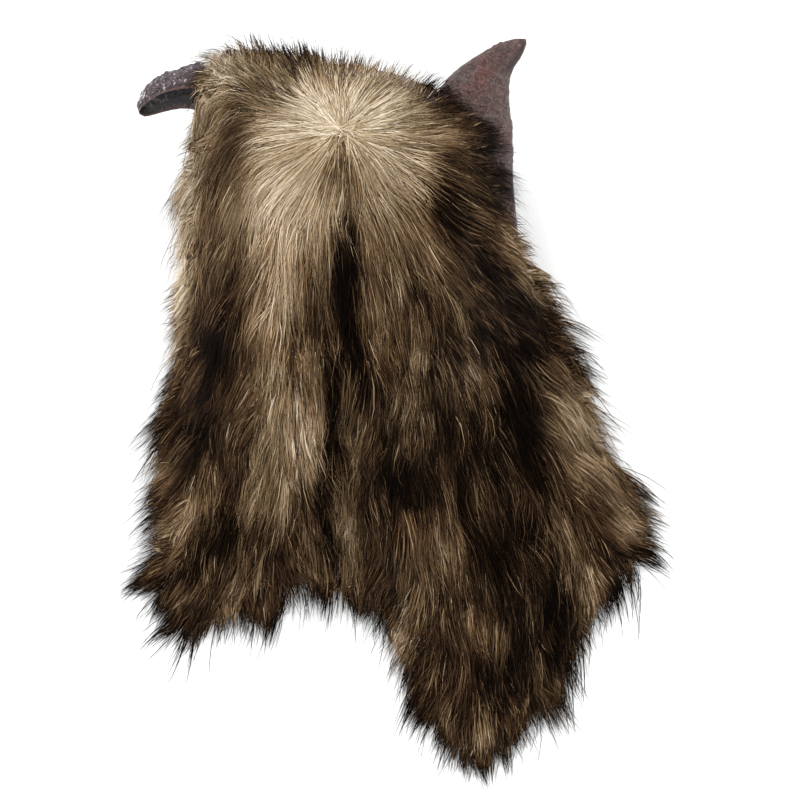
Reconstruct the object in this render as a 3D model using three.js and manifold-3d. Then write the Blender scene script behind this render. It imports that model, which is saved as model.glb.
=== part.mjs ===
import * as THREE from "three";
import { mergeVertices } from "three/addons/utils/BufferGeometryUtils.js";
import Module from "manifold-3d";

// A full-head werewolf mask lying face down: a thin rubber casting of a wolf's face with two ears,
// under a hood of long fur sewn from two panels that meet along the middle of the back.
// Sizes are in millimetres. The crown of the head is towards +Y, the open neck towards -Y,
// and the back of the head is up. Plan positions are measured from a point between the shoulders.

const wasm = await Module();
wasm.setup();

const headX = -18;
const headY = 74;
const wall = 3;
const neckEndY = -66;
const fit = 0.6;
const seamGap = 0.8;
const deep = 10;

// The rubber casting, as level outlines from the flat of the nose up to the back of the head.
const castOutlines = [
  { z: 0, wide: 15, top: 55, bottom: 35, middle: 45 },
  { z: 5, wide: 22, top: 61, bottom: 27, middle: 44 },
  { z: 14, wide: 27, top: 65, bottom: 17, middle: 42 },
  { z: 30, wide: 31, top: 68, bottom: 8, middle: 40 },
  { z: 47, wide: 37, top: 75, bottom: 2, middle: 42 },
  { z: 60, wide: 52, top: 96, bottom: -6, middle: 48 },
  { z: 70, wide: 74, top: 134, bottom: -26, middle: 60 },
  { z: 82, wide: 93, top: 168, bottom: -62, middle: 68 },
  { z: 98, wide: 103, top: 191, bottom: -112, middle: 72 },
  { z: 122, wide: 108, top: 204, bottom: -150, middle: 72 },
  { z: 148, wide: 108, top: 207, bottom: -106, middle: 72 },
  { z: 174, wide: 100, top: 200, bottom: -60, middle: 72 },
  { z: 198, wide: 82, top: 180, bottom: -24, middle: 72 },
  { z: 214, wide: 55, top: 146, bottom: 8, middle: 72 },
  { z: 222, wide: 18, top: 98, bottom: 48, middle: 72 },
];
const castRows = 23;
const castAround = 40;
const squareness = 2.4;

// The face, as swellings and hollows of the casting on each side of its middle line.
const brow = { x: 34, y: 112, wide: 26, tall: 12, rise: 9 };
const socket = { x: 36, y: 90, wide: 17, tall: 12, rise: -8 };
const cheek = { x: 58, y: 52, wide: 20, tall: 22, rise: 6 };
const eyeHole = { x: 36, y: 90, wide: 12, tall: 7 };
const mouth = { y: 22, deep: 3.2, tall: 4, from: 6, to: 60 };

// Each ear is a curled leaf of rubber: the middle of its mouth, its width and its depth, from root to tip.
const rightEar = {
  chord: new THREE.Vector3(1, 0, -0.1),
  back: new THREE.Vector3(0.1, 0, 1),
  steps: [
    { x: 90, y: 78, z: 108, width: 50, depth: 8, leaf: 4.5 },
    { x: 87, y: 118, z: 110, width: 48, depth: 12, leaf: 4.5 },
    { x: 85, y: 156, z: 112, width: 51, depth: 15, leaf: 4.5 },
    { x: 79, y: 188, z: 114, width: 57, depth: 16, leaf: 4.2 },
    { x: 86, y: 206, z: 116, width: 47, depth: 13, leaf: 4 },
    { x: 99, y: 219, z: 118, width: 37, depth: 9, leaf: 3.8 },
    { x: 110, y: 229, z: 120, width: 23, depth: 5.5, leaf: 3.5 },
    { x: 116, y: 233, z: 120, width: 9, depth: 2.5, leaf: 3 },
  ],
};
const leftEar = {
  chord: new THREE.Vector3(-0.12, -0.42, -0.9),
  back: new THREE.Vector3(-0.3, 0.88, -0.36),
  steps: [
    { x: -78, y: 146, z: 134, width: 44, depth: 22, leaf: 4.5 },
    { x: -112, y: 171, z: 131, width: 42, depth: 25, leaf: 4.5 },
    { x: -138, y: 183, z: 127, width: 36, depth: 27, leaf: 4.2 },
    { x: -153, y: 185, z: 123, width: 34, depth: 24, leaf: 4 },
    { x: -166, y: 183, z: 119, width: 34, depth: 22, leaf: 4 },
    { x: -176, y: 180, z: 115, width: 32, depth: 19, leaf: 3.8 },
    { x: -183, y: 177, z: 112, width: 25, depth: 14, leaf: 3.6 },
    { x: -187, y: 176, z: 110, width: 15, depth: 8.5, leaf: 3.4 },
    { x: -189, y: 175, z: 109, width: 6, depth: 3.5, leaf: 3 },
  ],
};
const earRows = 14;
const earAround = 8;

// The edge of the fur on plan, clockwise from the crown: the ear side, the long right
// skirt and its tail, the parting at the back of the neck, then the shorter left skirt.
const furEdge = [
  [-24, 221], [20, 207], [56, 190], [90, 169], [101, 134], [112, 106],
  [117, 80], [139, 50], [162, 2], [186, -62], [212, -122], [234, -172],
  [214, -212], [175, -260], [158, -302], [130, -338], [92, -360], [56, -346],
  [36, -298], [16, -256], [-10, -220], [-40, -192], [-62, -218], [-94, -240],
  [-142, -251], [-174, -234], [-199, -206], [-202, -172], [-186, -96],
  [-173, -16], [-166, 64], [-158, 124], [-148, 176], [-141, 208], [-126, 230],
  [-98, 236], [-60, 229],
];
const furAround = 78;
const furRows = 12;
const dome = { top: 246, halfWidth: 134, crown: 154, nape: 200, edge: 0.95, steep: 5.5 };
const skirt = { high: 48, low: 26, roundness: 7 };
const hairline = { high: 80, from: 30, to: 112, tuck: 0.965 };

// Locks that stand up from the fur, and the creases that sink between them.
const locks = [
  { from: [-108, 182], to: [-134, 208], rise: 50, width: 30 },
  { from: [48, 186], to: [104, 108], rise: 24, width: 24 },
  { from: [-66, -34], to: [-72, -170], rise: 20, width: 28 },
  { from: [-140, -60], to: [-164, -190], rise: 12, width: 28 },
  { from: [46, -40], to: [36, -180], rise: 16, width: 42 },
  { from: [120, -60], to: [176, -180], rise: 18, width: 34 },
  { from: [62, -230], to: [92, -320], rise: 14, width: 34 },
  { from: [-21, 70], to: [-22, 0], rise: -12, width: 13 },
  { from: [-27, -45], to: [-38, -190], rise: -24, width: 14 },
  { from: [100, -150], to: [160, -232], rise: -9, width: 20 },
  { from: [-124, -96], to: [-136, -236], rise: -9, width: 19 },
];

// The line on plan along which the two panels meet, from the crown to the parting.
const seam = [
  [-24, 300], [-25, 200], [-26, 160], [-22, 72], [-19, 24], [-24, -16],
  [-32, -56], [-34, -96], [-37, -160], [-40, -192], [-42, -420],
];

// The hollow under the nape, as upright arches from the neck of the casting to the parting.
const neckArches = [
  { y: -30, x: -18, half: 98, high: 176 },
  { y: -68, x: -18, half: 98, high: 174 },
  { y: -98, x: -22, half: 84, high: 116 },
  { y: -130, x: -27, half: 66, high: 76 },
  { y: -160, x: -33, half: 44, high: 46 },
  { y: -204, x: -40, half: 22, high: 20 },
];
const archAround = 20;
const face = { y: 52, halfWidth: 96, halfLength: 116, high: 84 };

function smoothStep(value, from, to) {
  return THREE.MathUtils.smoothstep(value, from, to);
}

// A row of the table between two others, so that every size runs on smoothly.
function between(table, place) {
  const index = Math.min(Math.floor(place), table.length - 2);
  const part = place - index;
  const row = {};
  for (const key of Object.keys(table[0])) {
    const value = (offset) => {
      const at = THREE.MathUtils.clamp(index + offset, 0, table.length - 1);
      return table[at][key];
    };
    const [a, b, c, d] = [value(-1), value(0), value(1), value(2)];
    const bend = 2 * a - 5 * b + 4 * c - d + (3 * (b - c) + d - a) * part;
    row[key] = b + 0.5 * part * (c - a + part * bend);
  }
  return row;
}

function spread(table, rows) {
  return Array.from({ length: rows }, (_, row) =>
    between(table, (row / (rows - 1)) * (table.length - 1)),
  );
}

// A closed skin through rings with the same number of points, closed by a fan at each end.
function skin(rings) {
  const around = rings[0].length;
  const points = rings.flat();
  const index = [];
  for (let row = 0; row < rings.length - 1; row++) {
    for (let step = 0; step < around; step++) {
      const next = (step + 1) % around;
      const here = row * around;
      const above = here + around;
      index.push(here + step, here + next, above + next);
      index.push(here + step, above + next, above + step);
    }
  }
  const middleOf = (ring) =>
    ring
      .reduce((sum, point) => sum.add(point), new THREE.Vector3())
      .divideScalar(around);
  const last = (rings.length - 1) * around;
  points.push(middleOf(rings[0]), middleOf(rings.at(-1)));
  for (let step = 0; step < around; step++) {
    const next = (step + 1) % around;
    index.push(points.length - 2, next, step);
    index.push(points.length - 1, last + step, last + next);
  }
  const geometry = new THREE.BufferGeometry().setFromPoints(points);
  geometry.setIndex(index);
  return geometry;
}

function grown(geometry, distance) {
  const larger = geometry.clone();
  larger.computeVertexNormals();
  const place = larger.getAttribute("position");
  const normal = larger.getAttribute("normal");
  for (let i = 0; i < place.count; i++) {
    place.setXYZ(
      i,
      place.getX(i) + distance * normal.getX(i),
      place.getY(i) + distance * normal.getY(i),
      place.getZ(i) + distance * normal.getZ(i),
    );
  }
  return larger;
}

function solidOf(geometry) {
  const plain = geometry.clone();
  plain.deleteAttribute("normal");
  plain.deleteAttribute("uv");
  const merged = mergeVertices(plain, 1e-3);
  const mesh = new wasm.Mesh({
    numProp: 3,
    vertProperties: new Float32Array(merged.getAttribute("position").array),
    triVerts: new Uint32Array(merged.index.array),
  });
  return new wasm.Manifold(mesh);
}

function geometryOf(solid) {
  const mesh = solid.getMesh();
  const geometry = new THREE.BufferGeometry();
  const places = new THREE.BufferAttribute(mesh.vertProperties, 3);
  geometry.setAttribute("position", places);
  geometry.setIndex(new THREE.BufferAttribute(mesh.triVerts, 1));
  return geometry;
}

function largestOf(solid) {
  const bodies = solid.decompose();
  return bodies.reduce((a, b) => (a.volume() > b.volume() ? a : b));
}

function power(value, exponent) {
  return Math.sign(value) * Math.abs(value) ** exponent;
}

// How far the face swells out, or sinks in, at a place on plan.
function faceRise(x, y) {
  let rise = 0;
  for (const feature of [brow, socket, cheek]) {
    const across = (Math.abs(x - headX) - feature.x) / feature.wide;
    const along = (y - feature.y) / feature.tall;
    rise += feature.rise * Math.exp(-across * across - along * along);
  }
  return rise;
}

function castRing(row) {
  return Array.from({ length: castAround }, (_, step) => {
    const angle = (step / castAround) * 2 * Math.PI;
    const reach = Math.sin(angle) > 0 ? row.top - row.middle : row.middle - row.bottom;
    let x = row.wide * power(Math.cos(angle), 2 / squareness);
    const y = row.middle + reach * power(Math.sin(angle), 2 / squareness);
    if (row.z > mouth.from && row.z < mouth.to) {
      const off = (y - mouth.y) / mouth.tall;
      x -= Math.sign(x) * mouth.deep * Math.exp(-off * off);
    }
    const onFace = smoothStep(row.z, 50, 64) * (1 - smoothStep(row.z, 88, 104));
    return new THREE.Vector3(headX + x, y, row.z - onFace * faceRise(headX + x, y));
  });
}

// One section of an ear: the curled leaf, or the whole space that it curls round.
function earRing(ear, step, filled, extra) {
  const chord = ear.chord.clone().normalize();
  const back = ear.back.clone().normalize();
  const middle = new THREE.Vector3(step.x, step.y, step.z);
  const at = (side, lift) =>
    middle.clone().addScaledVector(chord, side).addScaledVector(back, lift);
  const outer = [];
  const inner = [];
  for (let i = 0; i <= earAround; i++) {
    const angle = Math.PI * (1 - i / earAround);
    const side = (step.width / 2 + extra) * Math.cos(angle);
    const lift = (step.depth + 2 * extra) * Math.sin(angle) - extra;
    outer.push(at(side, lift));
    const innerSide = Math.max(step.width / 2 - step.leaf, 0.6) * Math.cos(angle);
    const innerLift = Math.max(step.depth - step.leaf, 0.6) * Math.sin(angle);
    inner.push(filled ? at(side * 0.98, -2 * extra) : at(innerSide, innerLift));
  }
  return [...outer, ...inner.slice(1, -1).reverse()];
}

function earSkin(ear, filled, extra) {
  const rings = spread(ear.steps, earRows).map((step) =>
    earRing(ear, step, filled, extra),
  );
  return solidFacingOut(skin(rings));
}

function solidFacingOut(geometry) {
  const solid = solidOf(geometry);
  if (solid.volume() > 0) return solid;
  const turned = geometry.clone();
  const index = turned.index;
  for (let i = 0; i < index.count; i += 3) {
    const first = index.getX(i);
    index.setX(i, index.getX(i + 1));
    index.setX(i + 1, first);
  }
  return solidOf(turned);
}

// How high the fur stands at a place on plan; reach is 0 in the middle and 1 at the edge.
function furHeight(x, y, reach) {
  const across = (x - headX) / dome.halfWidth;
  const along = (y - headY) / (y > headY ? dome.crown : dome.nape);
  const off = Math.hypot(across, along) / dome.edge;
  const mound = 1 / (1 + off ** dome.steep);
  const round = Math.sqrt(1 - reach ** skirt.roundness);
  const low = skirt.low + (skirt.high - skirt.low) * round;
  let height = low + (dome.top - low) * mound;
  const here = new THREE.Vector3(x, y, 0);
  for (const lock of locks) {
    const line = new THREE.Line3(
      new THREE.Vector3(...lock.from, 0),
      new THREE.Vector3(...lock.to, 0),
    );
    const nearest = line.closestPointToPoint(here, true, new THREE.Vector3());
    const off = nearest.distanceTo(here) / lock.width;
    const held = lock.from[1] > 100 ? 1 : round;
    height += held * lock.rise * Math.exp(-off * off);
  }
  return height;
}

function furBody() {
  const corners = furEdge.map(([x, y]) => new THREE.Vector3(x, y, 0));
  const edge = new THREE.CatmullRomCurve3(corners, true, "centripetal");
  const places = edge.getSpacedPoints(furAround).slice(0, furAround).reverse();
  const ringAt = (reach, height) =>
    places.map((place) => {
      const x = place.x * reach;
      const y = place.y * reach;
      return new THREE.Vector3(x, y, height(x, y));
    });
  const under = (x, y) => hairline.high * smoothStep(y, hairline.from, hairline.to);
  const rings = [ringAt(0.4, () => 0), ringAt(hairline.tuck, under)];
  for (let row = furRows; row >= 1; row--) {
    const reach = (row / furRows) ** 0.8;
    rings.push(ringAt(reach, (x, y) => furHeight(x, y, reach)));
  }
  return solidFacingOut(skin(rings));
}

function neckHollow() {
  const rings = neckArches.map((arch) =>
    Array.from({ length: archAround }, (_, step) => {
      const angle = (step / (archAround - 1)) * Math.PI;
      const x = arch.x + arch.half * power(Math.cos(angle), 0.85);
      const z = arch.high * power(Math.sin(angle), 0.85);
      return new THREE.Vector3(x, arch.y, step % (archAround - 1) ? z : -deep);
    }),
  );
  return solidFacingOut(skin(rings));
}

function upright(outline, from, to) {
  const shape = new THREE.Shape(outline.map(([x, y]) => new THREE.Vector2(x, y)));
  const settings = { depth: to - from, bevelEnabled: false, curveSegments: 24 };
  return new THREE.ExtrudeGeometry(shape, settings).translate(0, 0, from);
}

function post(x, y, halfWidth, halfLength, from, to, around) {
  const outline = Array.from({ length: around }, (_, step) => {
    const angle = (step / around) * 2 * Math.PI;
    return [x + halfWidth * Math.cos(angle), y + halfLength * Math.sin(angle)];
  });
  return solidOf(upright(outline, from, to));
}

// Everything on one side of the seam, out past the edge of the fur.
function sideOfSeam(side) {
  const far = side * 400;
  const line = seam.map(([x, y]) => [x + (side * seamGap) / 2, y]);
  const outline = [...line, [far, line.at(-1)[1]], [far, line[0][1]]];
  return solidOf(upright(outline, -deep, dome.top + 60));
}

const castSkin = skin(spread(castOutlines, castRows).map(castRing));
const castOutside = solidOf(castSkin);
const castInside = solidOf(grown(castSkin, -wall));
const neckMouth = solidOf(
  new THREE.BoxGeometry(400, 400, 400).translate(headX, neckEndY - 200, 150),
);
let casting = castOutside.add(earSkin(rightEar, false, 0));
casting = casting.add(earSkin(leftEar, false, 0));
casting = casting.subtract(castInside).subtract(neckMouth);
for (const side of [-1, 1]) {
  const x = headX + side * eyeHole.x;
  const hole = post(x, eyeHole.y, eyeHole.wide, eyeHole.tall, 20, 110, 16);
  casting = casting.subtract(hole);
}
casting = largestOf(casting);

let fur = furBody();
fur = fur.subtract(solidOf(grown(castSkin, fit)).subtract(neckMouth));
fur = fur.subtract(neckHollow());
fur = fur.subtract(
  post(headX, face.y, face.halfWidth, face.halfLength, -deep, face.high, 40),
);
fur = fur.subtract(earSkin(rightEar, true, fit));
fur = fur.subtract(earSkin(leftEar, true, fit));
const leftFur = largestOf(fur.intersect(sideOfSeam(-1)));
const rightFur = largestOf(fur.intersect(sideOfSeam(1)));

const rubber = new THREE.MeshStandardMaterial({
  color: 0x6b5450,
  roughness: 0.45,
  metalness: 0,
});
const pile = new THREE.MeshStandardMaterial({
  color: 0x8a7557,
  roughness: 0.95,
  metalness: 0,
});

const mask = new THREE.Group();
for (const [name, solid, material] of [
  ["latex_mask", casting, rubber],
  ["fur_panel_left", leftFur, pile],
  ["fur_panel_right", rightFur, pile],
]) {
  const mesh = new THREE.Mesh(geometryOf(solid), material);
  mesh.name = name;
  mask.add(mesh);
}

// The part's origin is on the floor under the middle of its box.
const box = new THREE.Box3().setFromObject(mask);
const middle = box.getCenter(new THREE.Vector3());
mask.position.set(-middle.x, -middle.y, -box.min.z);

export default mask;
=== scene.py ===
import math

import bmesh
import bpy
import numpy as np
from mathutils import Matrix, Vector, noise
from mathutils.bvhtree import BVHTree


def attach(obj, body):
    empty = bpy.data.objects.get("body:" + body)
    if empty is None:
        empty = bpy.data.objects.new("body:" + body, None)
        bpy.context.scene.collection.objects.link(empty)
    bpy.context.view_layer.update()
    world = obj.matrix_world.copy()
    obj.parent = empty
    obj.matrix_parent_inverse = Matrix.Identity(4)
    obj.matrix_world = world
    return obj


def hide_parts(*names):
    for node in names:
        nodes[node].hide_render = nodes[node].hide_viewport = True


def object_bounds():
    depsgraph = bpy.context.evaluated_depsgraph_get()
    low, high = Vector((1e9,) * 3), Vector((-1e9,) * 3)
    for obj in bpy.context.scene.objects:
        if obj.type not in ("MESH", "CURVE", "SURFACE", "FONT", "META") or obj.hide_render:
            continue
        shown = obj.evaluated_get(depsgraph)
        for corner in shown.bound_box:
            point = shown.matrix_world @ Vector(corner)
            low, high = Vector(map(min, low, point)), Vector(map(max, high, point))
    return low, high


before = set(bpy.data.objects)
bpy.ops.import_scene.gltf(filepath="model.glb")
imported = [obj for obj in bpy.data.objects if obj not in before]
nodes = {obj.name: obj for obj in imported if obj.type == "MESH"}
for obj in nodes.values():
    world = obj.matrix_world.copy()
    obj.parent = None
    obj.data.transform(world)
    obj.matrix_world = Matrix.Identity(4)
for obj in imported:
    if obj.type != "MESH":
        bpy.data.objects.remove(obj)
cadLow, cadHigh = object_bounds()
rng = np.random.default_rng(7)
print("frame loaded")

# Camera: straight over the mask, as in the photograph

view = {
    "place": (0.00475, 0.00632),  # the floor under the picture's middle
    "height": 4.0,
    "level": 0.12,  # the height at which a pixel is this wide
    "pixel": 0.0008,
    "picture": 800,
    "sensor": 36.0,
    "clipEnd": 20,
}


def added(name, data):
    thing = bpy.data.objects.new(name, data)
    bpy.context.scene.collection.objects.link(thing)
    return thing


def makeCamera():
    data = bpy.data.cameras.new("camera")
    data.sensor_width = view["sensor"]
    data.lens = view["sensor"] * (view["height"] - view["level"]) / (view["picture"] * view["pixel"])
    data.clip_end = view["clipEnd"]
    camera = added("camera", data)
    camera.location = (*view["place"], view["height"])
    bpy.context.scene.camera = camera


def seen(x, y, z):  # where a place lies in the picture, in pixels
    size = (view["height"] - view["level"]) / (view["height"] - z) / view["pixel"]
    half = view["picture"] / 2
    return half + (x - view["place"][0]) * size, half - (y - view["place"][1]) * size


def onFloor(px, py, z):  # the place at this height that the picture shows here
    size = view["pixel"] * (view["height"] - z) / (view["height"] - view["level"])
    half = view["picture"] / 2
    return view["place"][0] + (px - half) * size, view["place"][1] + (half - py) * size


makeCamera()

# Small tools

cloudTable = (61, 67)  # the random values that smooth noise is drawn through, before it repeats


def smooth(value, low, high):  # 0 up to low, 1 from high, and an even curve between
    part = np.clip((value - low) / (high - low), 0, 1)
    return part * part * (3 - 2 * part)


def mixed(first, last, part):
    return first + (last - first) * part


def unit(arrows):
    return arrows / np.maximum(np.linalg.norm(arrows, axis=-1, keepdims=True), 1e-9)


def cloud(u, v, size, seed):  # smooth noise from -1 to 1, with lumps of this size
    rows, columns = cloudTable
    table = np.random.default_rng(seed).uniform(-1, 1, cloudTable)
    u, v = u / size, v / size
    i, j = np.floor(u).astype(int), np.floor(v).astype(int)
    a, b = smooth(u - i, 0, 1), smooth(v - j, 0, 1)
    low = table[i % rows, j % columns] * (1 - a) + table[(i + 1) % rows, j % columns] * a
    high = table[i % rows, (j + 1) % columns] * (1 - a) + table[(i + 1) % rows, (j + 1) % columns] * a
    return low * (1 - b) + high * b


class Chart:  # values on an even grid, read between its points
    def __init__(self, values, start, step):
        self.values, self.start, self.step = values, start, step

    def read(self, x, y):
        rows, columns = self.values.shape
        u = np.clip((x - self.start[0]) / self.step, 0, columns - 1.001)  # just short of the last point
        v = np.clip((y - self.start[1]) / self.step, 0, rows - 1.001)
        i, j = u.astype(int), v.astype(int)
        a, b = u - i, v - j
        low = self.values[j, i] * (1 - a) + self.values[j, i + 1] * a
        high = self.values[j + 1, i] * (1 - a) + self.values[j + 1, i + 1] * a
        return low * (1 - b) + high * b


def blurred(values, rounds):
    for _ in range(rounds):
        wide = np.pad(values, 1, mode="edge")
        values = (wide[:-2, 1:-1] + wide[2:, 1:-1] + 2 * wide[1:-1, 1:-1]) / 4
        wide = np.pad(values, 1, mode="edge")
        values = (wide[1:-1, :-2] + wide[1:-1, 2:] + 2 * wide[1:-1, 1:-1]) / 4
    return values


def closed(values, rounds):  # fills pits up to twice this many cells wide
    for pick in (np.maximum, np.minimum):
        for _ in range(rounds):
            wide = np.pad(values, 1, mode="edge")
            around = (wide[:-2, 1:-1], wide[2:, 1:-1], wide[1:-1, :-2], wide[1:-1, 2:])
            values = pick.reduce([values, *around])
    return values


def farFromLoop(gx, gy, loop):  # distance to a closed outline, and the third value carried along it
    nearest = np.full(gx.shape, 9e9)
    carried = np.zeros(gx.shape)
    inside = np.zeros(gx.shape, bool)
    for (ax, ay, az), (bx, by, bz) in zip(loop, np.roll(loop, -1, axis=0)):
        dx, dy = bx - ax, by - ay
        part = np.clip(((gx - ax) * dx + (gy - ay) * dy) / (dx * dx + dy * dy), 0, 1)
        far = np.hypot(gx - ax - part * dx, gy - ay - part * dy)
        closer = far < nearest
        nearest = np.where(closer, far, nearest)
        carried = np.where(closer, az + part * (bz - az), carried)
        if ay != by:
            inside ^= ((ay > gy) != (by > gy)) & (gx < ax + (gy - ay) / (by - ay) * dx)
    return nearest, carried, inside


# The outer surface of the fur, measured on the two CAD panels

pelt = {
    "middle": (-0.01525, 0.06232),  # the point that the fur's edge was drawn round
    "grid": 0.003,
    "span": ((-0.27, 0.27), (-0.36, 0.36)),
    "above": 0.5,  # rays down start this high
    "beside": 0.6,  # and rays in this far out
    "rayPair": (-0.0013, 0.0011),  # two rays a place, so that one misses the gap between the panels
    "edgePoints": 260,
    "edgeLevels": (0.004, 0.24, 0.008),  # lowest and highest level that the side is measured at, and step
    "edgeTop": 0.004,  # the side's top is this close to its widest place
    "edgeFoot": 0.88,  # and its foot at least at this share of that
    "headLevels": (0.05, 0.12),  # the edge is at the hem below these levels, and at the head above them
    "headFall": 3.2,  # how steeply hair falls past the edge at the head
    "hemFall": 0.6,  # and past the hem
    "hemWidth": 0.045,  # the pile of the hem thins out over this width
    "hemHeight": 0.3,
    "least": 0.001,  # the thinnest pile
    "bare": 0.006,  # lower than this, a place is off the panels
    "pits": 4,  # half the width of the pits that are filled, in cells of the grid
    "blur": 3,
    "lumps": 0.006,  # uneven thickness of the pile
    "lumpSize": 0.034,
    "lumpDepth": 0.03,  # and full only where the fur is thicker than this
    "overEar": (210, 90, 20, 44, 0.166),  # hair over the left ear's foot: x, y, near, far and height
}
outline = (  # where the fur ends in the photograph, in its pixels, clockwise from the left ear
    (207, 58), (216, 48), (230, 42), (247, 40), (265, 42), (284, 47), (300, 43), (310, 44),
    (325, 51), (345, 58), (375, 63), (405, 72), (425, 78), (438, 84), (447, 94), (462, 106),
    (482, 118), (494, 142), (500, 168), (508, 190), (515, 210), (519, 226), (532, 250),
    (545, 262), (553, 275), (557, 300), (570, 320), (580, 345), (590, 370), (601, 392),
    (601, 425), (616, 450), (627, 478), (641, 500), (651, 520), (657, 541), (653, 556),
    (644, 566), (631, 574), (618, 584), (609, 595), (602, 608), (596, 622), (593, 638),
    (584, 650), (575, 667), (567, 695), (550, 710), (535, 730), (515, 752), (500, 759),
    (480, 767), (462, 769), (450, 764), (440, 750), (430, 728), (418, 716), (408, 692),
    (398, 665), (384, 640), (365, 615), (352, 602), (340, 599), (325, 590), (308, 586),
    (298, 592), (290, 605), (280, 615), (270, 623), (258, 617), (245, 615), (235, 622),
    (222, 632), (212, 632), (188, 645), (180, 637), (168, 633), (170, 608), (152, 608),
    (150, 593), (136, 582), (143, 563), (152, 538), (149, 520), (145, 495), (145, 480),
    (149, 450), (148, 435), (152, 410), (157, 395), (167, 362), (170, 345), (172, 325),
    (173, 310), (170, 275), (171, 250), (171, 235), (173, 215), (175, 190), (178, 165),
    (178, 140), (180, 118), (184, 104), (191, 92), (198, 80), (203, 70),
)


def treeOf(names):
    corners, faces = [], []
    for name in names:
        mesh = nodes[name].data
        start = len(corners)
        corners += [v.co.copy() for v in mesh.vertices]
        faces += [[start + i for i in p.vertices] for p in mesh.polygons]
    return BVHTree.FromPolygons(corners, faces)


def edgeOfFur(tree):  # widest place, and top and bottom of the side, all round
    middle = Vector(pelt["middle"])
    levels = np.arange(*pelt["edgeLevels"])
    edge = []
    for turn in np.linspace(0, 2 * math.pi, pelt["edgePoints"], endpoint=False):
        out = Vector((math.cos(turn), math.sin(turn), 0))
        reach = np.zeros(len(levels))
        for i, level in enumerate(levels):
            hit = tree.ray_cast(Vector((*middle, level)) + out * pelt["beside"], -out)[0]
            if hit:
                reach[i] = max(0, (hit.xy - middle).dot(out.xy))
        widest = reach.max()
        place = middle + out.xy * widest
        top = levels[reach > widest - pelt["edgeTop"]].max()
        foot = levels[reach > widest * pelt["edgeFoot"]].min()
        edge.append((place.x, place.y, top, foot))
    return np.array(edge)


def highest(tree, x, y):
    hits = [tree.ray_cast(Vector((x + nudge, y, pelt["above"])), down)[0] for nudge in pelt["rayPair"]]
    return max((hit.z for hit in hits if hit), default=0)


def heightOfFur(tree, edge):
    step = pelt["grid"]
    (x0, x1), (y0, y1) = pelt["span"]
    xs, ys = np.arange(x0, x1, step), np.arange(y0, y1, step)
    high = np.array([[highest(tree, x, y) for x in xs] for y in ys])
    gx, gy = np.meshgrid(xs, ys)
    nearest, level, _ = farFromLoop(gx, gy, edge[:, :3])
    inside = high > pelt["bare"]
    head = smooth(level, *pelt["headLevels"])
    fall = mixed(pelt["hemFall"], pelt["headFall"], head)
    full = np.where(inside, high, level - fall * nearest)
    inset = smooth(np.where(inside, nearest, -nearest), 0, pelt["hemWidth"])
    full = full * (head + (1 - head) * mixed(pelt["hemHeight"], 1, inset))
    full = np.maximum(full, pelt["least"])
    full = blurred(closed(full, pelt["pits"]), pelt["blur"])
    lump = cloud(gx, gy, pelt["lumpSize"], 3) + 0.5 * cloud(gx, gy, pelt["lumpSize"] / 2.2, 4)
    full = full + pelt["lumps"] * lump * smooth(full, 0, pelt["lumpDepth"])
    earX, earY, near, reach, earHigh = pelt["overEar"]
    px, py = seen(gx, gy, np.minimum(full, earHigh))
    onEar = 1 - smooth(np.hypot(px - earX, py - earY), near, reach)
    full = np.maximum(full, earHigh * onEar)
    px, py = seen(gx, gy, full)
    far, _, within = farFromLoop(px, py, np.array([(*p, 0) for p in outline], float))
    depth = np.where(within, far, -far) * view["pixel"]
    slopeY, slopeX = np.gradient(full, step)
    return [Chart(values, (x0, y0), step) for values in (full, slopeX, slopeY, depth, head)]


down = Vector((0, 0, -1))
tree = treeOf(("fur_panel_left", "fur_panel_right"))
furEdge = edgeOfFur(tree)
furTop, furSlopeX, furSlopeY, furDepth, furHead = heightOfFur(tree, furEdge)
print("surface of the fur measured, top", round(float(furTop.values.max()), 3))

# How the fur is combed and coloured, by places in the photograph's pixels

whorl = (342, 130)
combing = [  # x, y, and the way the hair lies: 0 right, 90 down, 180 left, 270 up
    (300, 60, 255), (250, 50, 228), (214, 64, 165), (372, 62, 290), (405, 84, 318),
    (440, 112, 5), (478, 150, 22), (200, 118, 112), (190, 200, 100), (250, 180, 106),
    (290, 220, 100), (232, 300, 98), (178, 330, 108), (168, 420, 118), (150, 520, 134),
    (150, 590, 142), (200, 600, 116), (260, 590, 96), (230, 450, 100), (290, 400, 82),
    (312, 470, 68), (322, 330, 80), (312, 560, 84), (380, 250, 78), (430, 222, 55),
    (482, 210, 34), (530, 262, 42), (570, 330, 50), (600, 430, 55), (650, 540, 40),
    (620, 585, 72), (500, 330, 62), (550, 430, 62), (420, 350, 86), (372, 430, 98),
    (440, 470, 88), (520, 520, 74), (570, 560, 72), (590, 640, 98), (480, 620, 88),
    (400, 600, 96), (430, 700, 100), (480, 740, 90), (540, 700, 80),
]
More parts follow.
